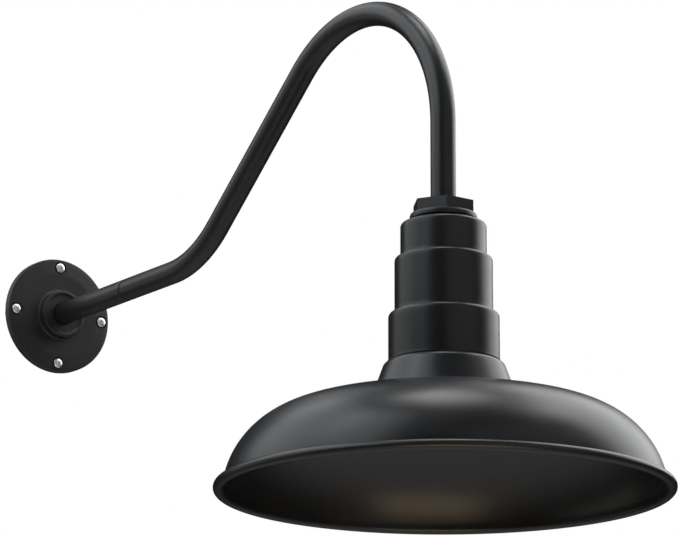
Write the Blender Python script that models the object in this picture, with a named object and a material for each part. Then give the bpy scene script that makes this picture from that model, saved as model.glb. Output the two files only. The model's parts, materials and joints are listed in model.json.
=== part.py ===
"""Outdoor wall lantern: a gooseneck barn light for a wall box.

Metres, +Z up. The back of the wall plate lies at X = 0 and +X points out of the wall.
The arm leaves the plate along +X, climbs, turns over and comes down to a shade that faces the ground.
"""

from math import acos, atan2, cos, pi, radians, sin, sqrt

import bpy
from mathutils import Vector

# ---- driving dimensions ----
reach = 0.5963               # wall to the shade's axis
shade_diameter = 0.3556      # over the rolled rim
plate_diameter = 0.107
screw_edge_distance = 0.0080 # plate's rim to the middle of a mounting screw
tube_diameter = 0.0200
tube_wall = 0.0016

# ---- arm ----
stub_reach = 0.127           # wall to the butt joint in the arm
rise_angle = radians(39.8)   # slope of the climbing straight
rise_bend_radius = 0.1115
rise_straight = 0.165
crook_bend_radius = 0.1193
drop_straight = 0.0667       # from the end of the crook down to the hub
joint_sleeve_length = 0.070
joint_sleeve_wall = 0.0014
lead_sleeve_diameter = 0.006

# ---- wall plate ----
plate_edge = 0.0072          # thickness at the rim
plate_crown = 0.0012         # how much thicker the face is beside the boss
plate_edge_round = 0.0012
plate_floor = 0.004          # depth of the hollow behind the boss
plate_rim_width = 0.0154     # solid ring that takes the screws
boss_diameter = 0.0452
boss_draft = 0.0009
boss_height = 0.0162         # from the wall
boss_dish = 0.0012
boss_rim = 0.0026
gasket_width = 0.0065
screw_hole_diameter = 0.0052
screw_seat_diameter = 0.0116
screw_seat_depth = 0.0011
screw_head_diameter = 0.0090
screw_head_height = 0.0026
screw_shank_diameter = 0.0042
screw_length_behind_wall = 0.012
set_screw_diameter = 0.004
ground_screw_length = 0.0042

# ---- hub ----
hex_across_flats = 0.0444
hex_height = 0.0095
collar_diameter = 0.0530
collar_height = 0.0047
hub_floor = 0.0022
nipple_diameter = 0.0167
nipple_wall = 0.0024
nipple_length = 0.0190
washer_diameter = 0.0490
washer_thickness = 0.0020

# ---- shade ----
sheet = 0.0010
neck_radii = (0.0338, 0.0384, 0.0433, 0.0465)
neck_heights = (0.0276, 0.0449, 0.0396)
neck_rounds = (0.0031, 0.0031, 0.0034, 0.0047)
neck_inner_round = 0.0010
flare_height = 0.0264
flare_spread = 0.0096
crown_fillet = 0.0060
crown_headings = (radians(5.1), radians(14.6), radians(81.8))
shoulder_radius = 0.0720
bead_radius = 0.00407

# ---- lamp holder and bulb ----
bracket_sheet = 0.0015
bracket_web = 0.0030         # metal left on each side of the nipple's hole
bracket_span = 0.048
bracket_drop = 0.0180
locknut_wall = 0.00365       # nipple to the middle of a flat
locknut_height = 0.0045
socket_diameter = 0.0420
socket_height = 0.0400
socket_wall = 0.0062
socket_top = 0.0075
shell_wall = 0.0006
shell_height = 0.0250
contact_sheet = 0.0008
terminal_spacing = 0.0250
foot_screw_spacing = 0.0340
screw_head_small = 0.0060
lead_diameter = 0.0024
cap_diameter = 0.0262
cap_height = 0.0210
bulb_diameter = 0.060
bulb_neck_height = 0.0300
bulb_neck_top_diameter = 0.0270
diffuser_share = 0.62        # height of the clear half as a share of the bulb's radius

# ---- clearances ----
touch_gap = 0.0003           # between pieces that rest on each other
thread_gap = 0.0003          # between a thread and its nut
cap_gap = 0.0004             # between the bulb's cap and the screw shell

# ---- smoothness ----
round_steps = 36
shade_steps = 40
small_steps = 14
tube_sides = 16
fine_round = 0.0011          # a fillet up to this size is a single flat


def clear_scene():
    for obj in list(bpy.data.objects):
        bpy.data.objects.remove(obj)


def make_material(name, color, roughness, metallic):
    material = bpy.data.materials.new(name)
    material.use_nodes = True
    shader = material.node_tree.nodes["Principled BSDF"]
    shader.inputs["Base Color"].default_value = (*color, 1.0)
    shader.inputs["Roughness"].default_value = roughness
    shader.inputs["Metallic"].default_value = metallic
    material.diffuse_color = (*color, 1.0)
    return material


def make_object(name, mesh, material, parent=None, place=(0, 0, 0), turn=None):
    obj = bpy.data.objects.new(name, mesh)
    if material and not mesh.materials:
        mesh.materials.append(material)
    bpy.context.collection.objects.link(obj)
    obj.parent = parent
    obj.location = place
    if turn:
        obj.rotation_euler = turn
    return obj


def make_pivot(name, place, parent=None):
    pivot = bpy.data.objects.new(name, None)
    pivot.empty_display_size = 0.03
    bpy.context.collection.objects.link(pivot)
    pivot.parent = parent
    pivot.location = place
    return pivot


def make_cutter(cutter):
    cutter.hide_render = True
    cutter.display_type = "WIRE"
    return cutter


def boolean(obj, other, operation="DIFFERENCE"):
    modifier = obj.modifiers.new(operation.title() + " " + other.name, "BOOLEAN")
    modifier.object = make_cutter(other)
    modifier.operation = operation
    modifier.solver = "EXACT"


def shade_round(obj, sharp=32):
    obj.data.shade_smooth()
    obj.data.set_sharp_from_angle(angle=radians(sharp))


# ---- outlines, as (radius, height) pairs ----

def arc(centre, radius, start, end, steps):
    """Points on a round from one angle to another, both included."""
    turns = [start + (end - start) * k / steps for k in range(steps + 1)]
    return [(centre[0] + radius * cos(t), centre[1] + radius * sin(t)) for t in turns]


def rounded(corners, steps=4):
    """A line through the corners, each (x, y, radius), with a fillet of that radius at it."""
    points = [corners[0][:2]]
    for before, corner, after in zip(corners, corners[1:], corners[2:]):
        here = Vector(corner[:2])
        back = (Vector(before[:2]) - here).normalized()
        on = (Vector(after[:2]) - here).normalized()
        if corner[2] == 0:
            points.append(tuple(here))
            continue
        half = acos(max(-1.0, min(1.0, back.dot(on)))) / 2
        middle = here + (back + on).normalized() * corner[2] / sin(half)
        first = here + back * corner[2] * cos(half) / sin(half) - middle
        last = here + on * corner[2] * cos(half) / sin(half) - middle
        start = atan2(first.y, first.x)
        sweep = (atan2(last.y, last.x) - start + pi) % (2 * pi) - pi
        count = steps if corner[2] > fine_round else 1
        points += arc(middle, corner[2], start, start + sweep, count)
    points.append(corners[-1][:2])
    return points


def heading_arc(start, headings, radius, steps):
    """A downward-bending round that starts at a point; headings are angles below level."""
    points = []
    for k in range(steps + 1):
        now = headings[0] + (headings[1] - headings[0]) * k / steps
        points.append((
            start[0] + radius * (sin(now) - sin(headings[0])),
            start[1] + radius * (cos(now) - cos(headings[0])),
        ))
    return points


def offset(points, distance):
    """The same line moved sideways, towards its right as it runs."""
    moved = []
    for k, point in enumerate(points):
        before = points[max(0, k - 1)]
        after = points[min(len(points) - 1, k + 1)]
        along = Vector((after[0] - before[0], after[1] - before[1])).normalized()
        moved.append((point[0] + along.y * distance, point[1] - along.x * distance))
    return moved


# ---- solids ----

def turned(name, outline, material, parent=None, place=(0, 0, 0), turn=None, steps=round_steps):
    """A solid turned about its own Z axis. The outline runs down its outer side."""
    on_axis = outline[0][0] == 0
    mesh = bpy.data.meshes.new(name)
    count = len(outline)
    edges = [(k, k + 1) for k in range(count - 1)]
    if not on_axis:
        edges.append((count - 1, 0))
    mesh.from_pydata([(radius, 0, height) for radius, height in outline], edges, [])
    obj = make_object(name, mesh, material, parent, place, turn)
    screw = obj.modifiers.new("Turn", "SCREW")
    screw.axis = "Z"
    screw.angle = 2 * pi
    screw.steps = steps
    screw.render_steps = steps
    screw.use_merge_vertices = True
    screw.merge_threshold = 0.00001
    screw.use_smooth_shade = True
    return obj


def cylinder(name, radius, low, high, material=None, parent=None, place=(0, 0, 0), turn=None,
             steps=small_steps):
    outline = [(0, high), (radius, high), (radius, low), (0, low)]
    return turned(name, outline, material, parent, place, turn, steps)


def ring(name, inner, outer, low, high, material, parent=None, place=(0, 0, 0), turn=None,
         steps=round_steps):
    outline = [(inner, high), (outer, high), (outer, low), (inner, low)]
    return turned(name, outline, material, parent, place, turn, steps)


def prism(name, corners, low, high, material, parent=None, place=(0, 0, 0), turn=None):
    """A straight-sided block from (x, y) corners, in either direction round."""
    count = len(corners)
    if sum(a[0] * b[1] - b[0] * a[1] for a, b in zip(corners, corners[1:] + corners[:1])) < 0:
        corners = corners[::-1]
    points = [(x, y, low) for x, y in corners] + [(x, y, high) for x, y in corners]
    faces = [tuple(reversed(range(count))), tuple(range(count, 2 * count))]
    for k in range(count):
        after = (k + 1) % count
        faces.append((k, after, count + after, count + k))
    mesh = bpy.data.meshes.new(name)
    mesh.from_pydata(points, [], faces)
    return make_object(name, mesh, material, parent, place, turn)


def hexagon(across_flats, corner_at=radians(30)):
    radius = across_flats / 2 / cos(pi / 6)
    return [(radius * cos(corner_at + k * pi / 3), radius * sin(corner_at + k * pi / 3))
            for k in range(6)]


def box(name, size, centre, parent=None, material=None):
    half_x, half_y, half_z = (side / 2 for side in size)
    corners = [(-half_x, -half_y), (half_x, -half_y), (half_x, half_y), (-half_x, half_y)]
    return prism(name, corners, -half_z, half_z, material, parent, centre)


def wire(name, points, radius, material, parent=None, place=(0, 0, 0), sides=8, caps=True):
    """A round bar along a line, as a curve with a bevel."""
    curve = bpy.data.curves.new(name, "CURVE")
    curve.dimensions = "3D"
    curve.bevel_depth = radius
    curve.bevel_resolution = (sides - 4) // 2
    curve.use_fill_caps = caps
    spline = curve.splines.new("POLY")
    spline.points.add(len(points) - 1)
    for spot, point in zip(spline.points, points):
        spot.co = (*point, 1)
    if material:
        curve.materials.append(material)
    obj = bpy.data.objects.new(name, curve)
    bpy.context.collection.objects.link(obj)
    obj.parent = parent
    obj.location = place
    return obj


def pipe(name, points, radius, wall, material, parent=None, place=(0, 0, 0)):
    """A hollow tube along a line: an open bevelled curve made a mesh, then given its wall."""
    guide = wire(name + "_guide", points, radius, None, sides=tube_sides, caps=False)
    bpy.context.view_layer.update()
    mesh = bpy.data.meshes.new_from_object(guide)
    bpy.data.objects.remove(guide)
    mesh.name = name
    obj = make_object(name, mesh, material, parent, place)
    solidify = obj.modifiers.new("Wall", "SOLIDIFY")
    solidify.thickness = wall
    solidify.offset = -1
    shade_round(obj)
    return obj


# ---- the arm's line, in the XZ plane ----

tube_radius = tube_diameter / 2
tube_bore = tube_radius - tube_wall
first_straight = (reach - crook_bend_radius * (1 + sin(rise_angle))
                  - rise_straight * cos(rise_angle) - rise_bend_radius * sin(rise_angle))
crook_centre_z = (rise_bend_radius * (1 - cos(rise_angle)) + rise_straight * sin(rise_angle)
                  - crook_bend_radius * cos(rise_angle))


def arm_line(start, end_z, rise_steps, crook_steps):
    """Points along the arm's centre from a place on its first straight to a height on the drop."""
    rise_centre = (first_straight, rise_bend_radius)
    crook_centre = (reach - crook_bend_radius, crook_centre_z)
    points = [(start, 0.0)]
    points += arc(rise_centre, rise_bend_radius, -pi / 2, rise_angle - pi / 2, rise_steps)
    points += arc(crook_centre, crook_bend_radius, pi / 2 + rise_angle, 0.0, crook_steps)
    points.append((reach, end_z))
    return [(x, 0.0, z) for x, z in points]


# ---- heights on the shade's axis, from the arm's end downwards ----

hub_top = crook_centre_z - drop_straight
hex_bottom = hub_top - hex_height
collar_bottom = hex_bottom - collar_height
tube_end = collar_bottom + hub_floor + touch_gap
washer_top = collar_bottom - touch_gap
neck_top = washer_top - washer_thickness - touch_gap
bracket_top = neck_top - sheet - touch_gap
locknut_top = bracket_top - bracket_sheet - touch_gap
nipple_top = collar_bottom + hub_floor - touch_gap
nipple_bottom = nipple_top - nipple_length
foot_bottom = bracket_top - bracket_drop
socket_top_z = foot_bottom - touch_gap
socket_bottom_z = socket_top_z - socket_height
shell_top = socket_top_z - socket_top - touch_gap
contact_bottom = shell_top - touch_gap - 2 * contact_sheet
tip_top = contact_bottom - touch_gap
tip_height = 0.0014
insulator_height = 0.0040
cap_top = tip_top - tip_height - insulator_height
cap_bottom = cap_top - cap_height
bulb_radius = bulb_diameter / 2
bulb_centre_z = cap_bottom - touch_gap - bulb_neck_height - bulb_radius * 0.28
nipple_radius = nipple_diameter / 2
bracket_width = 2 * (nipple_radius + thread_gap + bracket_web)
locknut_across_flats = 2 * (nipple_radius + locknut_wall)
cap_radius = cap_diameter / 2
shell_radius = cap_radius + cap_gap + shell_wall


# ---- wall mount ----

def make_wall_plate(cast_paint):
    radius = plate_diameter / 2
    bore = tube_radius + thread_gap
    boss = boss_diameter / 2
    hollow = radius - plate_rim_width
    face = plate_edge + plate_crown
    outline = rounded([
        (bore, plate_floor, 0),
        (bore, boss_height - boss_dish, 0.0005),
        (boss - boss_draft - boss_rim - boss_dish, boss_height - boss_dish, 0.0008),
        (boss - boss_draft - boss_rim, boss_height, 0.0005),
        (boss - boss_draft, boss_height, 0.0010),
        (boss, face, 0.0016),
        (screw_circle_radius() - screw_seat_diameter / 2, face, 0),
        (radius, plate_edge, plate_edge_round),
        (radius, 0, 0),
        (hollow, 0, 0),
        (hollow, plate_floor, 0.0008),
        (bore, plate_floor, 0),
    ], steps=3)[:-1]
    plate = turned("wall_plate", outline, cast_paint, turn=(0, pi / 2, 0))
    for number, (y, z) in enumerate(screw_places(), 1):
        hole = cylinder(f"screw_hole_{number}", screw_hole_diameter / 2, -0.002, 0.02,
                        place=(0, y, z), turn=(0, pi / 2, 0))
        boolean(plate, hole)
        seat = cylinder(f"screw_seat_{number}", screw_seat_diameter / 2,
                        screw_seat_z(), 0.02, place=(0, y, z), turn=(0, pi / 2, 0), steps=20)
        boolean(plate, seat)
    grub_hole = cylinder("boss_set_screw_hole", set_screw_diameter / 2 + thread_gap,
                         0, boss + 0.004, place=(boss_screw_x(), 0, 0), turn=(0, pi, 0))
    boolean(plate, grub_hole)
    ground_hole_depth = plate_floor + ground_screw_length + thread_gap
    ground_hole = cylinder("ground_screw_hole", screw_shank_diameter / 2 + thread_gap,
                           0, ground_hole_depth, place=(0, 0, ground_screw_z()), turn=(0, pi / 2, 0))
    boolean(plate, ground_hole)
    return plate


def screw_circle_radius():
    return plate_diameter / 2 - screw_edge_distance


def screw_places():
    circle = screw_circle_radius()
    return [(0, circle), (-circle, 0), (0, -circle), (circle, 0)]


def screw_seat_z():
    return plate_edge - screw_seat_depth


def boss_screw_x():
    return (plate_edge + plate_crown + boss_height) / 2 + 0.0004


def ground_screw_z():
    """In the middle of the boss's wall, which backs the whole hole."""
    return -(tube_radius + thread_gap + boss_diameter / 2) / 2


def phillips_cutter(name, top, parent, size=0.0046, slot=0.0011, depth=0.0013):
    """A cross-shaped tool: two thin blocks joined into one."""
    bar = box(name, (size, slot, 2 * depth), (0, 0, top), parent)
    other = box(name + "_across", (slot, size, 2 * depth), (0, 0, top), parent)
    boolean(bar, other, "UNION")
    return bar


def make_screw(name, head_radius, head_height, shank_radius, seat, length, metal,
               parent=None, place=(0, 0, 0), turn=None, slot=True):
    """A round-headed machine screw: its head stands on the seat and its shank goes down."""
    top = seat + head_height
    dome = [(0, top)]
    dome += [(head_radius * sin(t), seat + head_height * (0.35 + 0.65 * cos(t)))
             for t in (radians(30), radians(55), radians(76), radians(90))]
    outline = dome + [
        (head_radius, seat),
        (shank_radius, seat),
        (shank_radius, seat - length + shank_radius * 0.4),
        (shank_radius * 0.6, seat - length),
        (0, seat - length),
    ]
    screw = turned(name, outline, metal, parent, place, turn, small_steps)
    if slot:
        boolean(screw, phillips_cutter(name + "_recess", top, screw))
    return screw


def make_grub(name, length, metal, parent, place, turn):
    """A headless set screw with a hexagon socket in its top."""
    radius = set_screw_diameter / 2
    grub = cylinder(name, radius, -length, 0, metal, parent, place, turn)
    tool = prism(name + "_key", hexagon(radius), -0.0016, 0.001, None, grub)
    boolean(grub, tool)
    return grub


def make_wall_mount(cast_paint, zinc, green_zinc, rubber, black_steel):
    make_wall_plate(cast_paint)
    hollow = plate_diameter / 2 - plate_rim_width
    ring("wall_gasket", hollow - touch_gap - gasket_width, hollow - touch_gap,
         0, plate_floor - 0.0012, rubber, turn=(0, pi / 2, 0))
    for number, (y, z) in enumerate(screw_places(), 1):
        seat = screw_seat_z() + touch_gap
        make_screw(f"mounting_screw_{number}", screw_head_diameter / 2, screw_head_height,
                   screw_shank_diameter / 2, seat, seat + screw_length_behind_wall, zinc,
                   place=(0, y, z), turn=(0, pi / 2, 0))
    make_screw("ground_screw", 0.0038, 0.0022, screw_shank_diameter / 2,
               -plate_floor + touch_gap, ground_screw_length, green_zinc,
               place=(0, 0, ground_screw_z()), turn=(0, -pi / 2, 0))
    outer_end = boss_diameter / 2 - boss_draft / 2 - 0.0012
    inner_end = tube_radius + touch_gap
    make_grub("boss_set_screw", outer_end - inner_end, black_steel, None,
              (boss_screw_x(), 0, -outer_end), (0, pi, 0))


# ---- arm ----

def make_arm(arm_paint, raw_steel, sleeve_white):
    pivot = make_pivot("arm_turn_axis", (0, 0, 0))
    pipe("stub_tube", [(plate_floor - 0.002, 0, 0), (stub_reach - touch_gap / 2, 0, 0)],
         tube_radius, tube_wall, arm_paint, pivot)
    pipe("gooseneck_tube", arm_line(stub_reach + touch_gap / 2, tube_end, 5, 16),
         tube_radius, tube_wall, arm_paint, pivot)
    pipe("joint_sleeve", [(stub_reach - joint_sleeve_length / 2, 0, 0),
                          (stub_reach + joint_sleeve_length / 2, 0, 0)],
         tube_bore - touch_gap, joint_sleeve_wall, raw_steel, pivot)
    wire("arm_lead_sleeve", arm_line(0.001, tube_end + touch_gap, 5, 16),
         lead_sleeve_diameter / 2, sleeve_white, pivot)
    return pivot


# ---- hub ----

def make_hub(paint, raw_steel, rubber, black_steel, head):
    tube_hole = tube_radius + thread_gap
    nipple_hole = nipple_radius + thread_gap
    collar = collar_diameter / 2
    outline = rounded([
        (tube_hole, hub_top - 0.0004, 0),
        (hex_across_flats / 2 - 0.0008, hub_top - 0.0004, 0),
        (hex_across_flats / 2 - 0.0008, hex_bottom, 0),
        (collar, hex_bottom, 0.0016),
        (collar, collar_bottom, 0.0006),
        (nipple_hole, collar_bottom, 0),
        (nipple_hole, collar_bottom + hub_floor, 0),
        (tube_hole, collar_bottom + hub_floor, 0),
        (tube_hole, hub_top - 0.0004, 0),
    ], steps=3)[:-1]
    hub = turned("hex_hub", outline, paint, head)
    block = prism("hub_hexagon", hexagon(hex_across_flats), hex_bottom - 0.0006, hub_top, None, head)
    hole = cylinder("hub_tube_hole", tube_hole, hex_bottom - 0.003, hub_top + 0.003, None, head,
                    steps=round_steps)
    boolean(block, hole)
    boolean(hub, block, "UNION")
    middle = (hub_top + hex_bottom) / 2
    boolean(hub, cylinder("hub_set_screw_hole", set_screw_diameter / 2 + thread_gap, 0,
                          hex_across_flats / 2 + 0.006, None, head, (0, 0, middle), (0, -pi / 2, 0)))
    outer_end = hex_across_flats / 2 - 0.0010
    make_grub("hub_set_screw", outer_end - tube_radius - touch_gap, black_steel, head,
              (-outer_end, 0, middle), (0, -pi / 2, 0))
    ring("hub_nipple", nipple_radius - nipple_wall, nipple_radius, nipple_bottom, nipple_top,
         raw_steel, head, steps=28)
    ring("hub_washer", nipple_radius + thread_gap, washer_diameter / 2,
         washer_top - washer_thickness, washer_top, rubber, head)


# ---- shade ----

def shade_outer_line():
    """The sheet's outer face from the hole in its top to the rolled rim."""
    corners = [(nipple_radius + thread_gap, neck_top, 0)]
    height = neck_top
    for k, radius in enumerate(neck_radii):
        corners.append((radius, height, neck_rounds[k]))
        if k < len(neck_heights):
            height -= neck_heights[k]
            corners.append((radius, height, neck_inner_round))
    crown_start = (neck_radii[-1] + flare_spread, height - flare_height)
    corners.append((*crown_start, crown_fillet))
    corners.append((crown_start[0] + 0.03, crown_start[1] - 0.03 * sin(crown_headings[0]), 0))
    line = rounded(corners, steps=2)[:-1]
    level, tilt, steep = crown_headings
    wall_end = shade_diameter / 2 - bead_radius - bead_side()
    shoulder_width = shoulder_radius * (sin(steep) - sin(tilt))
    crown_radius = (wall_end - shoulder_width - crown_start[0]) / (sin(tilt) - sin(level))
    crown = heading_arc(crown_start, (level, tilt), crown_radius, 4)
    crown = [point for point in crown if point[0] > line[-1][0] + 0.002]
    shoulder = heading_arc(crown[-1], (tilt, steep), shoulder_radius, 8)
    return line + crown + shoulder[1:]


def bead_side():
    """How far inside the bead's centre the sheet's outer face meets it."""
    return bead_radius - sheet


def make_shade(paint, head):
    outer = shade_outer_line()
    meet = acos(-bead_side() / bead_radius)
    end = outer[-1]
    bead_centre = (end[0] + bead_side(), end[1] - bead_radius * sin(meet))
    bead = arc(bead_centre, bead_radius, meet, 0, 4)[1:]
    bead += arc(bead_centre, bead_radius, 0, -pi, 5)[1:]
    inner = offset(outer, sheet)
    inner[0] = (outer[0][0], outer[0][1] - sheet)
    inner = [point for point in inner if point[1] > bead_centre[1] + bead_radius * 0.5]
    turned("shade", outer + bead + inner[::-1], paint, head, steps=shade_steps)


# ---- lamp holder ----

def make_lamp_holder(raw_steel, zinc, ceramic, brass, black_lead, white_lead, head):
    hole = nipple_radius + thread_gap
    half = bracket_span / 2
    half_in = half - bracket_sheet
    foot_in = foot_screw_spacing / 2 - 0.005
    foot_top = foot_bottom + bracket_sheet
    ceiling = bracket_top - bracket_sheet
    # The strap's edge-on line: foot, leg, top, leg, foot.
    strap = [(-foot_in, foot_bottom), (-half, foot_bottom), (-half, bracket_top),
             (half, bracket_top), (half, foot_bottom), (foot_in, foot_bottom)]
    inside = [(foot_in, foot_top), (half_in, foot_top), (half_in, ceiling),
              (-half_in, ceiling), (-half_in, foot_top), (-foot_in, foot_top)]
    bracket = prism("socket_bracket", strap + inside, -bracket_width / 2, bracket_width / 2,
                    raw_steel, head, turn=(pi / 2, 0, pi / 2))
    boolean(bracket, cylinder("bracket_hole", hole, bracket_top - 0.004, bracket_top + 0.002,
                              None, head, steps=28))
    for side, number in ((-1, 1), (1, 2)):
        place = (0, side * foot_screw_spacing / 2, 0)
        boolean(bracket, cylinder(f"foot_hole_{number}", 0.0019, foot_bottom - 0.002,
                                  foot_bottom + 0.004, None, head, place))

    nut = prism("hub_locknut", hexagon(locknut_across_flats), locknut_top - locknut_height,
                locknut_top, zinc, head)
    boolean(nut, cylinder("locknut_hole", nipple_radius + thread_gap, locknut_top - 0.02,
                          locknut_top + 0.01, None, head, steps=28))

    outer = socket_diameter / 2
    bore = shell_radius + touch_gap
    body = rounded([
        (0, socket_top_z, 0),
        (outer - 0.0015, socket_top_z, 0),
        (outer, socket_top_z - 0.0015, 0),
        (outer, socket_top_z - socket_height * 0.55, 0.001),
        (outer - 0.0015, socket_top_z - socket_height * 0.62, 0.001),
        (outer - 0.0015, socket_bottom_z, 0.0012),
        (bore, socket_bottom_z, 0.0006),
        (bore, socket_top_z - socket_top, 0),
        (0, socket_top_z - socket_top, 0),
    ], steps=3)
    socket = turned("socket_body", body, ceramic, head, steps=28)
    for side, number in ((-1, 1), (1, 2)):
        boolean(socket, cylinder(f"socket_foot_hole_{number}", 0.0019, socket_top_z - 0.006,
                                 socket_top_z + 0.002, None, head,
                                 (0, side * foot_screw_spacing / 2, 0)))
        boolean(socket, cylinder(f"socket_terminal_hole_{number}", 0.0019, socket_top_z - 0.005,
                                 socket_top_z + 0.002, None, head,
                                 (side * terminal_spacing / 2, 0, 0)))

    ring("screw_shell", shell_radius - shell_wall, shell_radius, shell_top - shell_height, shell_top,
         brass, head, steps=28)
    make_contact(brass, head)
    for side, number in ((-1, 1), (1, 2)):
        make_screw(f"foot_screw_{number}", screw_head_small / 2, 0.0022, 0.0016,
                   foot_bottom + bracket_sheet + touch_gap, 0.0065, zinc, head,
                   (0, side * foot_screw_spacing / 2, 0), slot=False)
        make_screw(f"terminal_screw_{number}", screw_head_small / 2, 0.0022, 0.0016,
                   socket_top_z + 2 * touch_gap, 0.0048, brass, head,
                   (side * terminal_spacing / 2, 0, 0), slot=False)
    make_head_leads(black_lead, white_lead, head)


def make_contact(brass, head):
    """The bent tongue that the bulb's tip presses on."""
    half = 0.0035
    reach_in = 0.0090
    top = shell_top - touch_gap
    strip = [(-reach_in, top), (-reach_in, top - contact_sheet), (-0.003, contact_bottom),
             (0.003, contact_bottom), (0.003, contact_bottom + contact_sheet),
             (-0.003, contact_bottom + contact_sheet), (-reach_in + 0.0015, top)]
    prism("centre_contact", strip, -half, half, brass, head, turn=(pi / 2, 0, 0))


def make_head_leads(black_lead, white_lead, head):
    """Two leads from the nipple to the terminal screws, side by side in the nipple."""
    apart = lead_diameter / 2 + 0.00035
    top = tube_end
    for side, name, material in ((-1, "white_lead", white_lead), (1, "black_lead", black_lead)):
        low = socket_top_z + lead_diameter / 2 + 0.0006
        end_x = terminal_spacing / 2 - screw_head_small / 2 - 0.0004
        bend = min(0.006, (nipple_bottom - low) * 0.9)
        points = [(side * apart, 0, top), (side * apart, 0, low + bend)]
        turn = arc((apart + bend, low + bend), bend, pi, 1.5 * pi, 5)[1:]
        points += [(side * x, 0, z) for x, z in turn]
        points.append((side * max(end_x, apart + bend + 0.001), 0, low))
        wire(name, points, lead_diameter / 2, material, head)


# ---- bulb ----

def make_bulb(brass, black_glass, white_plastic, diffuser, head):
    pivot = make_pivot("bulb_axis", (0, 0, 0), head)
    tip_bottom = tip_top - tip_height
    turned("bulb_tip_contact", [
        (0, tip_top), (0.0030, tip_top - 0.0002), (0.0046, tip_bottom), (0, tip_bottom),
    ], brass, pivot, steps=24)
    insulator_top = tip_bottom - touch_gap
    insulator_bottom = cap_top + touch_gap
    turned("bulb_insulator", [
        (0, insulator_top), (0.0060, insulator_top), (0.0100, insulator_bottom), (0, insulator_bottom),
    ], black_glass, pivot, steps=24)
    pitch = cap_height / 6
    thread = [(0, cap_top), (cap_radius - 0.0016, cap_top)]
    for turn in range(5):
        top = cap_top - 0.0010 - pitch * turn
        thread += [(cap_radius, top - pitch * 0.3), (cap_radius - 0.0009, top - pitch * 0.8)]
    thread += [(cap_radius - 0.0002, cap_bottom), (0, cap_bottom)]
    turned("bulb_cap", thread, brass, pivot, steps=28)

    split = bulb_centre_z + bulb_radius * 0.18
    start = atan2(split - bulb_centre_z, bulb_radius)
    edge = sqrt(bulb_radius ** 2 - (split - bulb_centre_z) ** 2)
    neck_top_z = cap_bottom - touch_gap
    neck_top_radius = bulb_neck_top_diameter / 2
    housing = rounded([
        (0, neck_top_z, 0),
        (neck_top_radius, neck_top_z, 0.0010),
        (neck_top_radius + 0.0010, neck_top_z - 0.004, 0.004),
        (edge, split + touch_gap, 0),
        (0, split + touch_gap, 0),
    ])
    turned("bulb_housing", housing, white_plastic, pivot, steps=24)
    globe = [(0, split), (edge, split)]
    globe += arc((0, bulb_centre_z), bulb_radius, start, -pi / 2, 10)[1:-1]
    globe.append((0, bulb_centre_z - bulb_radius))
    turned("bulb_diffuser", globe, diffuser, pivot, steps=24)


def main():
    clear_scene()
    arm_paint = make_material("black_powder_coat", (0.018, 0.018, 0.019), 0.42, 0.0)
    cast_paint = make_material("black_cast_paint", (0.020, 0.020, 0.021), 0.55, 0.0)
    shade_paint = make_material("black_shade_paint", (0.016, 0.016, 0.017), 0.38, 0.0)
    zinc = make_material("zinc_plate", (0.72, 0.72, 0.74), 0.25, 1.0)
    green_zinc = make_material("green_dyed_zinc", (0.05, 0.32, 0.12), 0.30, 1.0)
    raw_steel = make_material("plain_steel", (0.45, 0.45, 0.46), 0.40, 1.0)
    black_steel = make_material("black_oxide_steel", (0.03, 0.03, 0.03), 0.45, 1.0)
    rubber = make_material("black_rubber", (0.015, 0.015, 0.015), 0.85, 0.0)
    ceramic = make_material("glazed_porcelain", (0.86, 0.85, 0.82), 0.18, 0.0)
    brass = make_material("plain_brass", (0.75, 0.56, 0.25), 0.30, 1.0)
    sleeve_white = make_material("woven_sleeve", (0.80, 0.79, 0.75), 0.80, 0.0)
    black_lead = make_material("black_lead_insulation", (0.02, 0.02, 0.02), 0.50, 0.0)
    white_lead = make_material("white_lead_insulation", (0.85, 0.85, 0.83), 0.50, 0.0)
    black_glass = make_material("black_glass", (0.02, 0.02, 0.025), 0.12, 0.0)
    white_plastic = make_material("white_bulb_housing", (0.85, 0.85, 0.84), 0.45, 0.0)
    diffuser = make_material("opal_diffuser", (0.92, 0.91, 0.88), 0.35, 0.0)

    make_wall_mount(cast_paint, zinc, green_zinc, rubber, black_steel)
    arm = make_arm(arm_paint, raw_steel, sleeve_white)
    head = make_pivot("head_turn_axis", (reach, 0, 0), arm)
    make_hub(arm_paint, raw_steel, rubber, black_steel, head)
    make_shade(shade_paint, head)
    make_lamp_holder(raw_steel, zinc, ceramic, brass, black_lead, white_lead, head)
    make_bulb(brass, black_glass, white_plastic, diffuser, head)
    print(f"rim diameter {shade_diameter * 1000:.1f} mm, reach {reach * 1000:.1f} mm")


main()
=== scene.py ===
import json
from math import cos, pi, radians, sin

import bpy
import numpy as np
from mathutils import Matrix, Vector


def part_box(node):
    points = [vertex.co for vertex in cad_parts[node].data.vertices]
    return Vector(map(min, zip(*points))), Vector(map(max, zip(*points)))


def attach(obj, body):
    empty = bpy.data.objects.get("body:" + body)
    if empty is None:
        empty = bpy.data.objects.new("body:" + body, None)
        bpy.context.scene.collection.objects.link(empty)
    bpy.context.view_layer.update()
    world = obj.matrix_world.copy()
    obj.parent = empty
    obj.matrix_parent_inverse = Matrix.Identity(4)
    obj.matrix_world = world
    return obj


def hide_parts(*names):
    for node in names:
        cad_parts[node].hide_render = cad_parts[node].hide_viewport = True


# A gooseneck wall lantern. Metres, +Z up, the wall at X = 0 and the shade hanging out along +X.

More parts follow.
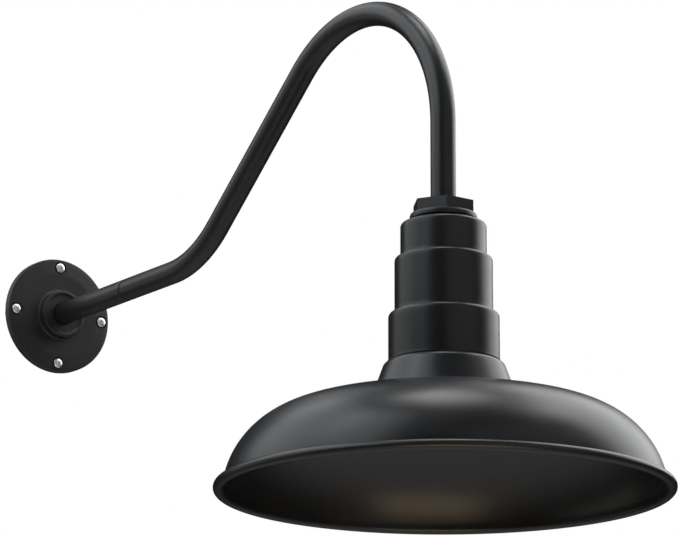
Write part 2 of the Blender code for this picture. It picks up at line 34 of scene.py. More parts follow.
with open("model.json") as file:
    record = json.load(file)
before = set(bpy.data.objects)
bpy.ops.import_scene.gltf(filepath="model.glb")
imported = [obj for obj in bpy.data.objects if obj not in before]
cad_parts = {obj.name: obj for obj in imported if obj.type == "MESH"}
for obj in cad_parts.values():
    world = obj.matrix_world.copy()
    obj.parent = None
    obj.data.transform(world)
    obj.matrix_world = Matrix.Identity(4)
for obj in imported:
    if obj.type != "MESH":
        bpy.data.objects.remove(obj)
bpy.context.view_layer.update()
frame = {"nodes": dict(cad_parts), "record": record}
print("frame loaded,", len(frame["nodes"]), "nodes")


# Lines are arrays of (radius, height) rows, worked out whole.

def arcLine(centre, radius, start, end, steps):
    # centre + radius * (cos t, sin t), with t running evenly from start to end
    t = np.linspace(start, end, steps + 1)
    return np.stack([centre[0] + radius * np.cos(t), centre[1] + radius * np.sin(t)], axis=1)


def filletLine(corners, steps=6):
    # straight runs through the corners (x, y, round), with each corner cut by an arc that touches both runs
    corners = np.array(corners, float)
    parts = [corners[:1, :2]]
    for before, corner, after in zip(corners, corners[1:], corners[2:]):
        here = corner[:2]
        if corner[2] == 0:
            parts.append(here[None])
            continue
        back = (before[:2] - here) / np.linalg.norm(before[:2] - here)
        on = (after[:2] - here) / np.linalg.norm(after[:2] - here)
        half = np.arccos(np.clip(back @ on, -1, 1)) / 2
        middle = here + (back + on) / np.linalg.norm(back + on) * corner[2] / np.sin(half)
        first = here + back * corner[2] / np.tan(half) - middle
        last = here + on * corner[2] / np.tan(half) - middle
        start = np.arctan2(first[1], first[0])
        sweep = (np.arctan2(last[1], last[0]) - start + pi) % (2 * pi) - pi
        parts.append(arcLine(middle, corner[2], start, start + sweep, steps))
    parts.append(corners[-1:, :2])
    return np.concatenate(parts)


def bendingLine(start, tilts, radius, steps):
    # a round that starts at a point and bends down; tilts are degrees below level:
    # start + radius * (sin tilt - sin first tilt, cos tilt - cos first tilt)
    tilt = np.radians(np.linspace(tilts[0], tilts[1], steps + 1))
    across = np.sin(tilt) - np.sin(tilt[0])
    down = np.cos(tilt) - np.cos(tilt[0])
    return np.stack([start[0] + radius * across, start[1] + radius * down], axis=1)


def sideways(line, distance):
    # each point moved square to the line's run, towards its right
    along = np.gradient(line, axis=0)
    along /= np.linalg.norm(along, axis=1, keepdims=True)
    return line + distance * np.stack([along[:, 1], -along[:, 0]], axis=1)


def densify(line, pitch):
    # every run is cut into equal lengths no longer than the pitch
    runs = np.diff(line, axis=0)
    counts = np.maximum(1, np.ceil(np.linalg.norm(runs, axis=1) / pitch).astype(int))
    owner = np.repeat(np.arange(len(runs)), counts)
    step = np.arange(len(owner)) - np.repeat(np.cumsum(counts) - counts, counts)
    return np.concatenate([line[owner] + runs[owner] * (step / counts[owner])[:, None], line[-1:]])


def turnedPoints(line, around, swell=None):
    # (r cos t, r sin t, z), where r is the line's radius, or radius + swell(t, z) where a swell is given
    t = np.linspace(0, 2 * pi, around, endpoint=False)[:, None]
    radius, height = line[:, 0][None], line[:, 1][None]
    if swell:
        radius = radius + swell(t, height)
    return np.stack([radius * np.cos(t), radius * np.sin(t), height + 0 * t], axis=2)


def alongX(points):
    # a shape turned about Z is laid over, so that its own +Z points out of the wall
    return np.stack([points[..., 2], points[..., 1], -points[..., 0]], axis=-1)


def alongMinusX(points):
    return np.stack([-points[..., 2], points[..., 1], points[..., 0]], axis=-1)


def gridMesh(name, points, loop=True, uv=False):
    # points[i, j]: i runs round and closes; j runs along, and either closes too or ends in two poles
    around, along = points.shape[:2]
    index = np.arange(around * along).reshape(around, along)
    if not loop:
        index[:, 0] = index[0, 0]
        index[:, -1] = index[0, -1]
    beside = np.roll(index, -1, axis=0)
    last = along if loop else along - 1
    after, besideAfter = np.roll(index, -1, axis=1), np.roll(beside, -1, axis=1)
    quads = np.stack([index, after, besideAfter, beside], axis=2)[:, :last]
    faces = quads.reshape(-1, 4).tolist()
    if not loop:
        first = quads[:, 0, [0, 1, 2]].tolist()
        end = quads[:, -1, [0, 1, 3]].tolist()
        faces = first + quads[:, 1:-1].reshape(-1, 4).tolist() + end
    used = np.unique(index)
    if not loop:
        shift = np.zeros(around * along, int)
        shift[used] = np.arange(len(used))
        faces = [shift[face].tolist() for face in map(np.array, faces)]
    mesh = bpy.data.meshes.new(name)
    mesh.from_pydata(points.reshape(-1, 3)[used].tolist(), [], faces)
    mesh.shade_smooth()
    if uv:
        # u goes once round and v is metres along
        run = np.linalg.norm(np.diff(points, axis=1, append=points[:, :1]), axis=2).mean(axis=0)
        v = np.concatenate([[0], np.cumsum(run)])
        i, j = np.meshgrid(np.arange(around), np.arange(last), indexing="ij")
        u = np.stack([i, i, i + 1, i + 1], axis=2) / around
        pairs = np.stack([u, v[np.stack([j, j + 1, j + 1, j], axis=2)]], axis=3)
        layer = mesh.uv_layers.new(name="round")
        layer.data.foreach_set("uv", pairs.reshape(-1).astype(np.float32))
    return mesh


def addPiece(name, mesh, body, slotName, material, *nodes):
    mesh.name = name
    mesh.materials.clear()
    mesh.materials.append(material)
    piece = bpy.data.objects.new(name, mesh)
    bpy.context.scene.collection.objects.link(piece)
    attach(piece, body)
    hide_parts(*nodes)
    return piece


def cutMesh(mesh, cutters, sharp=35, operation="DIFFERENCE"):
    # the cutters are taken off the mesh one after another, and edges sharper than the angle stay crisp
    whole = bpy.data.objects.new("cutBlank", mesh)
    bpy.context.scene.collection.objects.link(whole)
    tools = []
    for cutter in cutters:
        tool = bpy.data.objects.new("cutTool", cutter)
        bpy.context.scene.collection.objects.link(tool)
        modifier = whole.modifiers.new("cut", "BOOLEAN")
        modifier.object = tool
        modifier.operation = operation
        modifier.solver = "EXACT"
        tools.append(tool)
    bpy.context.view_layer.update()
    evaluated = whole.evaluated_get(bpy.context.evaluated_depsgraph_get())
    cut = bpy.data.meshes.new_from_object(evaluated)
    for obj in [whole, *tools]:
        spare = obj.data
        bpy.data.objects.remove(obj)
        bpy.data.meshes.remove(spare)
    cut.shade_smooth()
    cut.set_sharp_from_angle(angle=radians(sharp))
    return cut


def plainCylinder(radius, low, high, around=48):
    line = np.array([(0, high), (radius, high), (radius, low), (0, low)], float)
    return turnedPoints(line, around)


def moved(points, x=0.0, y=0.0, z=0.0):
    return points + np.array([x, y, z])


# Finishes. Every pattern reads the piece's own coordinates in metres.

def newGroup(name, inputs, outputs):
    group = bpy.data.node_groups.new(name, "ShaderNodeTree")
    for title, kind, value in inputs:
        socket = group.interface.new_socket(title, in_out="INPUT", socket_type=kind)
        if value is not None:
            socket.default_value = value
    for title, kind in outputs:
        group.interface.new_socket(title, in_out="OUTPUT", socket_type=kind)
    return group, group.nodes.new("NodeGroupInput"), group.nodes.new("NodeGroupOutput")


def addNode(tree, kind, settings=None, **values):
    node = tree.nodes.new(kind)
    for key, value in (settings or {}).items():
        setattr(node, key, value)
    for key, value in values.items():
        node.inputs[key].default_value = value
    return node


def addMath(tree, operation, first, second=None):
    node = tree.nodes.new("ShaderNodeMath")
    node.operation = operation
    for socket, value in zip(node.inputs, (first, second)):
        if isinstance(value, (int, float)):
            socket.default_value = value
        elif value is not None:
            tree.links.new(value, socket)
    return node.outputs[0]


def addRange(tree, source, fromLow, fromHigh, toLow, toHigh):
    node = tree.nodes.new("ShaderNodeMapRange")
    for title, value in zip(("From Min", "From Max", "To Min", "To Max"), (fromLow, fromHigh, toLow, toHigh)):
        node.inputs[title].default_value = value
    tree.links.new(source, node.inputs["Value"])
    return node.outputs["Result"]


def makeOrangePeel():
    # the fine pebbling of baked powder, its slow drift in gloss and a few pale specks of dust
    group, inside, outside = newGroup(
        "orangePeel",
        [("Where", "NodeSocketVector", None), ("Cells", "NodeSocketFloat", 900.0),
         ("Drift", "NodeSocketFloat", 18.0)],
        [("Height", "NodeSocketFloat"), ("Mottle", "NodeSocketFloat"), ("Specks", "NodeSocketFloat")])
    link = group.links.new
    pebble = addNode(group, "ShaderNodeTexNoise", Detail=2.0, Roughness=0.4)
    link(inside.outputs["Where"], pebble.inputs["Vector"])
    link(inside.outputs["Cells"], pebble.inputs["Scale"])
    link(pebble.outputs["Fac"], outside.inputs["Height"])
    drift = addNode(group, "ShaderNodeTexNoise", Detail=4.0, Roughness=0.6)
    link(inside.outputs["Where"], drift.inputs["Vector"])
    link(inside.outputs["Drift"], drift.inputs["Scale"])
    link(addRange(group, drift.outputs["Fac"], 0.3, 0.7, 0.0, 1.0), outside.inputs["Mottle"])
    speck = addNode(group, "ShaderNodeTexVoronoi", Scale=420.0)
    link(inside.outputs["Where"], speck.inputs["Vector"])
    link(addRange(group, speck.outputs["Distance"], 0.05, 0.11, 1.0, 0.0), outside.inputs["Specks"])
    return group


def makeSpunRings():
    # rings left by the spinning tool: noise that varies with the radius from the shade's axis and the height
    group, inside, outside = newGroup(
        "spunRings",
        [("Where", "NodeSocketVector", None), ("Rings", "NodeSocketFloat", 500.0)],
        [("Height", "NodeSocketFloat"), ("Streaks", "NodeSocketFloat")])
    link = group.links.new
    parts = group.nodes.new("ShaderNodeSeparateXYZ")
    link(inside.outputs["Where"], parts.inputs[0])
    squares = addMath(group, "ADD", addMath(group, "POWER", parts.outputs["X"], 2.0),
                      addMath(group, "POWER", parts.outputs["Y"], 2.0))
    radius = addMath(group, "SQRT", squares)
    flat = group.nodes.new("ShaderNodeCombineXYZ")
    link(radius, flat.inputs["X"])
    link(parts.outputs["Z"], flat.inputs["Y"])
    fine = addNode(group, "ShaderNodeTexNoise", Detail=3.0, Roughness=0.6)
    link(flat.outputs[0], fine.inputs["Vector"])
    link(inside.outputs["Rings"], fine.inputs["Scale"])
    link(fine.outputs["Fac"], outside.inputs["Height"])
    broad = addNode(group, "ShaderNodeTexNoise", Scale=120.0, Detail=2.0)
    link(flat.outputs[0], broad.inputs["Vector"])
    link(addRange(group, broad.outputs["Fac"], 0.35, 0.65, 0.0, 1.0), outside.inputs["Streaks"])
    return group


def makeFineScratches():
    # hairline marks in two directions, from noise stretched along each of them
    group, inside, outside = newGroup(
        "fineScratches",
        [("Where", "NodeSocketVector", None), ("Marks", "NodeSocketFloat", 700.0)],
        [("Height", "NodeSocketFloat"), ("Dull", "NodeSocketFloat")])
    link = group.links.new
    heights = []
    for turn, squeeze in ((0.5, (1.0, 0.06, 1.0)), (-0.8, (0.05, 1.0, 1.0))):
        mapping = addNode(group, "ShaderNodeMapping", Rotation=(turn, 0.3, turn), Scale=squeeze)
        link(inside.outputs["Where"], mapping.inputs["Vector"])
        noise = addNode(group, "ShaderNodeTexNoise", Detail=2.0)
        link(mapping.outputs["Vector"], noise.inputs["Vector"])
        link(inside.outputs["Marks"], noise.inputs["Scale"])
        heights.append(noise.outputs["Fac"])
    link(addMath(group, "MAXIMUM", *heights), outside.inputs["Height"])
    stain = addNode(group, "ShaderNodeTexNoise", Scale=160.0, Detail=3.0)
    link(inside.outputs["Where"], stain.inputs["Vector"])
    link(addRange(group, stain.outputs["Fac"], 0.35, 0.65, 0.0, 1.0), outside.inputs["Dull"])
    return group


orangePeel = makeOrangePeel()
spunRings = makeSpunRings()
fineScratches = makeFineScratches()


def startMaterial(name, **constants):
    material = bpy.data.materials.new(name)
    material.use_nodes = True
    tree = material.node_tree
    shader = tree.nodes["Principled BSDF"]
    for key, value in constants.items():
        shader.inputs[key.replace("_", " ")].default_value = value
    where = tree.nodes.new("ShaderNodeTexCoord")
    return material, tree, shader, where.outputs["Object"]


def useGroup(tree, group, where, **values):
    node = tree.nodes.new("ShaderNodeGroup")
    node.node_tree = group
    tree.links.new(where, node.inputs["Where"])
    for key, value in values.items():
        node.inputs[key].default_value = value
    return node


def mixColors(tree, factor, first, second):
    node = tree.nodes.new("ShaderNodeMix")
    node.data_type = "RGBA"
    tree.links.new(factor, node.inputs["Factor"])
    for title, value in (("A", first), ("B", second)):
        socket = next(s for s in node.inputs if s.name == title and s.type == "RGBA")
        if isinstance(value, tuple):
            socket.default_value = (*value, 1.0)
        else:
            tree.links.new(value, socket)
    return next(s for s in node.outputs if s.type == "RGBA")


def addBump(tree, shader, height, depth, before=None):
    bump = tree.nodes.new("ShaderNodeBump")
    bump.inputs["Distance"].default_value = depth
    tree.links.new(height, bump.inputs["Height"])
    if before:
        tree.links.new(before, bump.inputs["Normal"])
    tree.links.new(bump.outputs["Normal"], shader.inputs["Normal"])
    return bump.outputs["Normal"]


def powderCoat(name, dark, light, gloss, cells=900.0, peelDepth=0.00003, centre=None):
    # black powder coat; with a centre, the rings of spun sheet show faintly through it
    material, tree, shader, where = startMaterial(name)
    peel = useGroup(tree, orangePeel, where, Cells=cells)
    color = mixColors(tree, peel.outputs["Mottle"], dark, light)
    dust = addMath(tree, "MULTIPLY", peel.outputs["Specks"], 0.25)
    dusted = mixColors(tree, dust, color, (0.10, 0.10, 0.10))
    tree.links.new(dusted, shader.inputs["Base Color"])
    rough = addRange(tree, peel.outputs["Mottle"], 0.0, 1.0, gloss - 0.03, gloss + 0.03)
    normal = None
    if centre:
        onAxis = addNode(tree, "ShaderNodeMapping", Location=(-centre, 0.0, 0.0))
        tree.links.new(where, onAxis.inputs["Vector"])
        rings = useGroup(tree, spunRings, onAxis.outputs["Vector"])
        streak = addRange(tree, rings.outputs["Streaks"], 0.0, 1.0, -0.01, 0.01)
        rough = addMath(tree, "ADD", rough, streak)
        normal = addBump(tree, shader, rings.outputs["Height"], 0.000008)
    tree.links.new(rough, shader.inputs["Roughness"])
    addBump(tree, shader, peel.outputs["Height"], peelDepth, normal)
    return material


def metalFinish(name, bright, dull, gloss, marks=700.0, depth=0.00001):
    material, tree, shader, where = startMaterial(name, Metallic=1.0)
    scratches = useGroup(tree, fineScratches, where, Marks=marks)
    color = mixColors(tree, scratches.outputs["Dull"], bright, dull)
    tree.links.new(color, shader.inputs["Base Color"])
    rough = addRange(tree, scratches.outputs["Dull"], 0.0, 1.0, gloss, gloss + 0.12)
    tree.links.new(rough, shader.inputs["Roughness"])
    addBump(tree, shader, scratches.outputs["Height"], depth)
    return material


def softFinish(name, first, second, gloss, cells, depth, **constants):
    # rubber, plastic and glaze: a slow drift between two shades over a fine grain
    material, tree, shader, where = startMaterial(name, **constants)
    peel = useGroup(tree, orangePeel, where, Cells=cells, Drift=40.0)
    tree.links.new(mixColors(tree, peel.outputs["Mottle"], first, second), shader.inputs["Base Color"])
    rough = addRange(tree, peel.outputs["Mottle"], 0.0, 1.0, gloss - 0.04, gloss + 0.04)
    tree.links.new(rough, shader.inputs["Roughness"])
    addBump(tree, shader, peel.outputs["Height"], depth)
    return material


def wovenFinish(name, thread, paintedGapShade, strands=16.0, pitch=620.0):
    # glass braid: two sets of strands wound opposite ways, from the piece's own round-and-along map; the gaps
    # between the strands take a darker copy of the thread colour as painted shade
    material, tree, shader, _ = startMaterial(name, Roughness=0.82, Sheen_Weight=0.25)
    uv = addNode(tree, "ShaderNodeUVMap", {"uv_map": "round"})
    parts = tree.nodes.new("ShaderNodeSeparateXYZ")
    tree.links.new(uv.outputs["UV"], parts.inputs[0])
    turn = addMath(tree, "MULTIPLY", parts.outputs["X"], strands)
    run = addMath(tree, "MULTIPLY", parts.outputs["Y"], pitch)
    waves = []
    for operation in ("ADD", "SUBTRACT"):
        phase = addMath(tree, "MULTIPLY", addMath(tree, operation, turn, run), pi)
        waves.append(addMath(tree, "ABSOLUTE", addMath(tree, "SINE", phase)))
    weave = addMath(tree, "MAXIMUM", *waves)
    # painted shade: where the weave is low, between the strands, the colour goes to the darker gap colour
    tree.links.new(mixColors(tree, addRange(tree, weave, 0.55, 1.0, 0.0, 1.0), paintedGapShade, thread),
                   shader.inputs["Base Color"])
    addBump(tree, shader, weave, 0.0002)
    return material


# The shade's axis and heights, from the frame.

shadeLow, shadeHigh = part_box("shade")
axisX = (shadeLow.x + shadeHigh.x) / 2
rimRadius = (shadeHigh.y - shadeLow.y) / 2
neckTop = shadeHigh.z


finishes = {
    "shade_paint": powderCoat("blackShadePaint", (0.0098, 0.0106, 0.0120), (0.0122, 0.0131, 0.0147), 0.33,
                              peelDepth=0.000012, centre=axisX),
    "arm_paint": powderCoat("blackArmPaint", (0.0098, 0.0106, 0.0120), (0.0122, 0.0131, 0.0147), 0.36,
                            peelDepth=0.000016),
    "cast_paint": powderCoat("blackCastPaint", (0.0110, 0.0112, 0.0118), (0.0150, 0.0152, 0.0158), 0.46,
                             cells=520.0, peelDepth=0.00010),
    "zinc": metalFinish("brightZinc", (0.95, 0.95, 0.96), (0.82, 0.83, 0.85), 0.36),
    "green_zinc": metalFinish("greenZinc", (0.05, 0.34, 0.12), (0.03, 0.24, 0.09), 0.30),
    "black_steel": metalFinish("blackOxide", (0.035, 0.035, 0.038), (0.02, 0.02, 0.022), 0.42),
    "plain_steel": metalFinish("plainSteel", (0.50, 0.50, 0.51), (0.36, 0.36, 0.37), 0.36),
    "brass": metalFinish("plainBrass", (0.78, 0.58, 0.27), (0.60, 0.43, 0.19), 0.28),
    "cap_metal": metalFinish("nickelPlate", (0.80, 0.78, 0.74), (0.66, 0.64, 0.60), 0.22),
    "rubber": softFinish("blackRubber", (0.012, 0.012, 0.012), (0.022, 0.022, 0.021), 0.84, 1500.0, 0.00005),
    "porcelain": softFinish("whiteGlaze", (0.86, 0.85, 0.81), (0.80, 0.79, 0.75), 0.16, 260.0, 0.00006,
                            Coat_Weight=0.4, Coat_Roughness=0.05),
    "black_lead": softFinish("blackLead", (0.016, 0.016, 0.017), (0.026, 0.026, 0.027), 0.48, 1200.0,
                             0.00002),
    "white_lead": softFinish("whiteLead", (0.84, 0.84, 0.81), (0.78, 0.78, 0.75), 0.48, 1200.0, 0.00002),
    "black_glass": softFinish("blackInsulator", (0.015, 0.015, 0.019), (0.024, 0.024, 0.028), 0.12, 300.0,
                              0.00002),
    "bulb_plastic": softFinish("bulbHousingWhite", (0.84, 0.84, 0.83), (0.81, 0.81, 0.80), 0.42, 1400.0,
                               0.00002),
    "bulb_opal": softFinish("opalDiffuser", (0.90, 0.89, 0.86), (0.87, 0.86, 0.83), 0.34, 1600.0, 0.00001,
                            Subsurface_Weight=0.25, Subsurface_Scale=0.004),
    # the second colour is painted shade for the gaps between the braid's strands
    "woven_sleeve": wovenFinish("wovenSleeve", (0.80, 0.79, 0.75), (0.40, 0.39, 0.36)),
}
print("finishes made:", len(finishes))


def onShadeAxis(points):
    return moved(points, x=axisX)


shadeSizes = {
    "sheet": 0.0010,
    "hole": 0.00865,
    "neckRadii": (0.0338, 0.0384, 0.0433, 0.0465),
    "neckHeights": (0.0276, 0.0449, 0.0396),
    "neckRounds": (0.0031, 0.0031, 0.0034, 0.0047),
    "innerRound": 0.0010,
    "flareHeight": 0.0264,
    "flareSpread": 0.0096,
    "crownFillet": 0.0060,
    "crownTilts": (5.1, 14.6, 81.8),   # degrees below level at the crown's start, the shoulder and the bead
    "shoulderRadius": 0.0720,
    "beadRadius": 0.00407,
    "around": 192,
    "pitch": 0.003,
}


def shadeLine(sizes):
    # the spun outline: stepped neck, flare, shallow crown, round shoulder, rolled bead,
    # then the inner face back
    corners = [(sizes["hole"], neckTop, 0)]
    height = neckTop
    for k, radius in enumerate(sizes["neckRadii"]):
        corners.append((radius, height, sizes["neckRounds"][k]))
        if k < len(sizes["neckHeights"]):
            height -= sizes["neckHeights"][k]
            corners.append((radius, height, sizes["innerRound"]))
    crownX = sizes["neckRadii"][-1] + sizes["flareSpread"]
    crownZ = height - sizes["flareHeight"]
    level, tilt, steep = sizes["crownTilts"]
    corners.append((crownX, crownZ, sizes["crownFillet"]))
    corners.append((crownX + 0.03, crownZ - 0.03 * sin(radians(level)), 0))
    neck = filletLine(corners)[:-1]
    beadSide = sizes["beadRadius"] - sizes["sheet"]
    wallEnd = rimRadius - sizes["beadRadius"] - beadSide
    shoulder = sizes["shoulderRadius"] * (sin(radians(steep)) - sin(radians(tilt)))
    crownRadius = (wallEnd - shoulder - crownX) / (sin(radians(tilt)) - sin(radians(level)))
    crown = bendingLine((crownX, crownZ), (level, tilt), crownRadius, 28)
    crown = crown[crown[:, 0] > neck[-1, 0] + 0.001]
    bend = bendingLine(crown[-1], (tilt, steep), sizes["shoulderRadius"], 36)[1:]
    outer = densify(np.concatenate([neck, crown, bend]), sizes["pitch"])
    meet = np.arccos(-beadSide / sizes["beadRadius"])
    beadX = outer[-1, 0] + beadSide
    beadZ = outer[-1, 1] - sizes["beadRadius"] * sin(meet)
    bead = arcLine((beadX, beadZ), sizes["beadRadius"], meet, -pi, 30)[1:]
    inner = sideways(outer, sizes["sheet"])
    inner[0] = (sizes["hole"], neckTop - sizes["sheet"])
    inner = inner[inner[:, 1] > beadZ + sizes["beadRadius"] * 0.5]
    return np.concatenate([outer, bead, inner[::-1]])


def makeShade():
    points = onShadeAxis(turnedPoints(shadeLine(shadeSizes), shadeSizes["around"]))
    mesh = gridMesh("shadeShell", points)
    mesh.set_sharp_from_angle(angle=radians(50))
    return addPiece("shadeShell", mesh, "head", "shade_paint", finishes["shade_paint"], "shade")


# The arm's line in the XZ plane: a level stub, a climb, and a crook that comes down on the shade's axis.

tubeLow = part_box("gooseneck_tube")[0]
stubLow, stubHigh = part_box("stub_tube")
tubeRadius = (stubHigh.y - stubLow.y) / 2

armSizes = {
    "wall": 0.0016,
    "riseAngle": 39.8,
    "riseBend": 0.1115,
    "riseStraight": 0.165,
    "crookBend": 0.1193,
    "cutRound": 0.0004,        # the broken edge of a sawn end
    "around": 64,
    "pitch": 0.004,
}


def armLine(start, endZ, sizes):
    rise, turn, crook = radians(sizes["riseAngle"]), sizes["riseBend"], sizes["crookBend"]
    level = axisX - crook * (1 + sin(rise)) - sizes["riseStraight"] * cos(rise) - turn * sin(rise)
    crookZ = turn * (1 - cos(rise)) + sizes["riseStraight"] * sin(rise) - crook * cos(rise)
    return np.concatenate([
        [(start, 0.0)],
        arcLine((level, turn), turn, -pi / 2, rise - pi / 2, 40),
        arcLine((axisX - crook, crookZ), crook, pi / 2 + rise, 0.0, 110),
        [(axisX, endZ)],
    ])


def sweptTube(name, line, radius, bore, sizes, uv=False):
    # a ring (radius cos a, radius sin a) carried along the line, square to it, out along the outer face and
    # back along the bore: line(s) + rho * (cos a * sideways(s) + sin a * Y)
    runs = np.linalg.norm(np.diff(line, axis=0), axis=1)
    reach = np.concatenate([[0], np.cumsum(runs)])
    total, edge = reach[-1], sizes["cutRound"]
    steps = np.linspace(edge, total - edge, int(total / sizes["pitch"]) + 2)
    cut = np.array([0.0, 0.3, 1.0]) * edge
    depth = np.array([1.0, 0.3, 0.0]) * edge
    s = np.concatenate([cut[:2], steps, total - cut[1::-1]])
    rho = np.concatenate([radius - depth[:2], np.full(len(steps), radius), radius - depth[1::-1]])
    if bore:
        s, rho = np.concatenate([s, s[::-1]]), np.concatenate([rho, np.full(len(s), bore)])
    else:
        s, rho = np.concatenate([[0], s, [total]]), np.concatenate([[0], rho, [0]])
    x, z = np.interp(s, reach, line[:, 0]), np.interp(s, reach, line[:, 1])
    before, after = np.clip(s - 0.0015, 0, total), np.clip(s + 0.0015, 0, total)
    ahead = np.stack([np.interp(after, reach, line[:, k]) - np.interp(before, reach, line[:, k])
                      for k in (0, 1)], axis=1)
    ahead /= np.linalg.norm(ahead, axis=1, keepdims=True)
    a = np.linspace(0, 2 * pi, sizes["around"], endpoint=False)[:, None]
    out = rho * np.cos(a)
    points = np.stack([x - out * ahead[:, 1], rho * np.sin(a), z + out * ahead[:, 0]], axis=2)
    return gridMesh(name, points, loop=bool(bore), uv=uv)


def makeArm():
    sizes = armSizes
    bore = tubeRadius - sizes["wall"]
    stub = sweptTube("stubTube", np.array([(stubLow.x, 0.0), (stubHigh.x, 0.0)]), tubeRadius, bore, sizes)
    addPiece("stubTube", stub, "arm", "arm_paint", finishes["arm_paint"], "stub_tube")
    neck = sweptTube("gooseneckTube", armLine(tubeLow.x, tubeLow.z, sizes), tubeRadius, bore, sizes)
    addPiece("gooseneckTube", neck, "arm", "arm_paint", finishes["arm_paint"], "gooseneck_tube")
    sleeveLow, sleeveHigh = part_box("arm_lead_sleeve")
    line = armLine(sleeveLow.x, sleeveLow.z, sizes)
    braid = sweptTube("armLeadSleeve", line, (sleeveHigh.y - sleeveLow.y) / 2, None,
                      dict(sizes, around=20, pitch=0.006), uv=True)
    addPiece("armLeadSleeve", braid, "arm", "woven_sleeve", finishes["woven_sleeve"], "arm_lead_sleeve")


# The wall plate, cast with a hollow back and a dished boss.

plateLow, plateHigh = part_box("wall_plate")
plateRadius = (plateHigh.y - plateLow.y) / 2

plateSizes = {
    "edge": 0.0072,
    "crown": 0.0012,
    "edgeRound": 0.0012,
    "floor": 0.004,
    "rimWidth": 0.0154,
    "boss": 0.0226,
    "bossDraft": 0.0009,
    "bossDish": 0.0012,
    "bossRim": 0.0026,
    "screwCircle": 0.0455,
    "screwHole": 0.0026,
    "screwSeat": 0.0058,
    "seatDepth": 0.0011,
    "setScrewHole": 0.0023,
    "groundScrewHole": 0.0024,
    "around": 160,
}


def makeWallPlate():
    sizes = plateSizes
    bore, boss = tubeRadius + 0.0003, sizes["boss"]
    face, top = sizes["edge"] + sizes["crown"], plateHigh.x
    hollow = plateRadius - sizes["rimWidth"]
    lip = boss - sizes["bossDraft"] - sizes["bossRim"]
    line = filletLine([
        (bore, sizes["floor"], 0),
        (bore, top - sizes["bossDish"], 0.0005),
        (lip - sizes["bossDish"], top - sizes["bossDish"], 0.0010),
        (lip, top, 0.0007),
        (boss - sizes["bossDraft"], top, 0.0010),
        (boss, face, 0.0018),
        (sizes["screwCircle"] - sizes["screwSeat"], face, 0.02),
        (plateRadius, sizes["edge"], sizes["edgeRound"]),
        (plateRadius, 0, 0.0004),
        (hollow, 0, 0.0004),
        (hollow, sizes["floor"], 0.0012),
        (bore, sizes["floor"], 0),
    ])[:-1]
    mesh = gridMesh("wallPlate", alongX(turnedPoints(densify(line, 0.004), sizes["around"])))
    cutters = []
    for quarter in range(4):
        y = sizes["screwCircle"] * sin(quarter * pi / 2)
        z = sizes["screwCircle"] * cos(quarter * pi / 2)
        seat = sizes["edge"] - sizes["seatDepth"]
        drill = filletLine([
            (0, 0.02, 0), (sizes["screwSeat"] + 0.0008, 0.02, 0),
            (sizes["screwSeat"] + 0.0008, sizes["edge"] + 0.0009, 0),
            (sizes["screwSeat"], sizes["edge"] - 0.0001, 0),
            (sizes["screwSeat"], seat, 0.0006), (sizes["screwHole"] + 0.0003, seat, 0),
            (sizes["screwHole"], seat - 0.0003, 0), (sizes["screwHole"], -0.002, 0), (0, -0.002, 0)], steps=4)
        cutters.append(gridMesh("seatTool", moved(alongX(turnedPoints(drill, 48)), y=y, z=z), loop=False))
    setScrewLow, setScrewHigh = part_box("boss_set_screw")
    across = (setScrewLow.x + setScrewHigh.x) / 2
    slot = plainCylinder(sizes["setScrewHole"], -boss - 0.004, 0, 32)
    cutters.append(gridMesh("setScrewTool", moved(slot, x=across), loop=False))
    groundLow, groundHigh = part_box("ground_screw")
    hole = alongX(plainCylinder(sizes["groundScrewHole"], -0.001, groundHigh.x + 0.0003, 32))
    cutters.append(gridMesh("groundTool", moved(hole, z=(groundLow.z + groundHigh.z) / 2), loop=False))
    plate = cutMesh(mesh, cutters, sharp=30)
    return addPiece("wallPlate", plate, "wall_mount", "cast_paint", finishes["cast_paint"], "wall_plate")


# Round-headed machine screws with a cross recess and a rolled thread.

screwSizes = {
    "shank": 0.0021,
    "threadDepth": 0.00035,
    "threadPitch": 0.0008,
    "recessHalf": 0.0024,
    "recessSlot": 0.0014,
    "recessDepth": 0.0021,
    "around": 40,
}


def threadSwell(depth, pitch, start, end, hand=1):
    # a V that winds once round per pitch and fades out at both ends:
    # -depth * |2 frac(z / pitch - t / 2 pi) - 1|
    def swell(t, z):
        share = (z / pitch - hand * t / (2 * pi)) % 1.0
        fade = np.clip((start - z) / pitch, 0, 1) * np.clip((z - end) / pitch, 0, 1)
        return -depth * np.abs(2 * share - 1) * fade
    return swell


def recessTool(top, half, slot, depth):
    # two crossed wedges, wide at the mouth and narrow at the floor, as one star-shaped solid
    corner = slot / 2
    star = np.array([(half, -corner), (half, corner), (corner, corner), (corner, half), (-corner, half),
                     (-corner, corner), (-half, corner), (-half, -corner), (-corner, -corner),
                     (-corner, -half), (corner, -half), (corner, -corner)])
    levels = [(0.0, top + 0.002), (1.12, top + 0.002), (1.0, top),
              (0.72, top - depth * 0.8), (0.0, top - depth)]
    points = np.stack([np.concatenate([star * share, np.full((12, 1), z)], axis=1) for share, z in levels],
                      axis=1)
    return gridMesh("recessTool", points, loop=False)


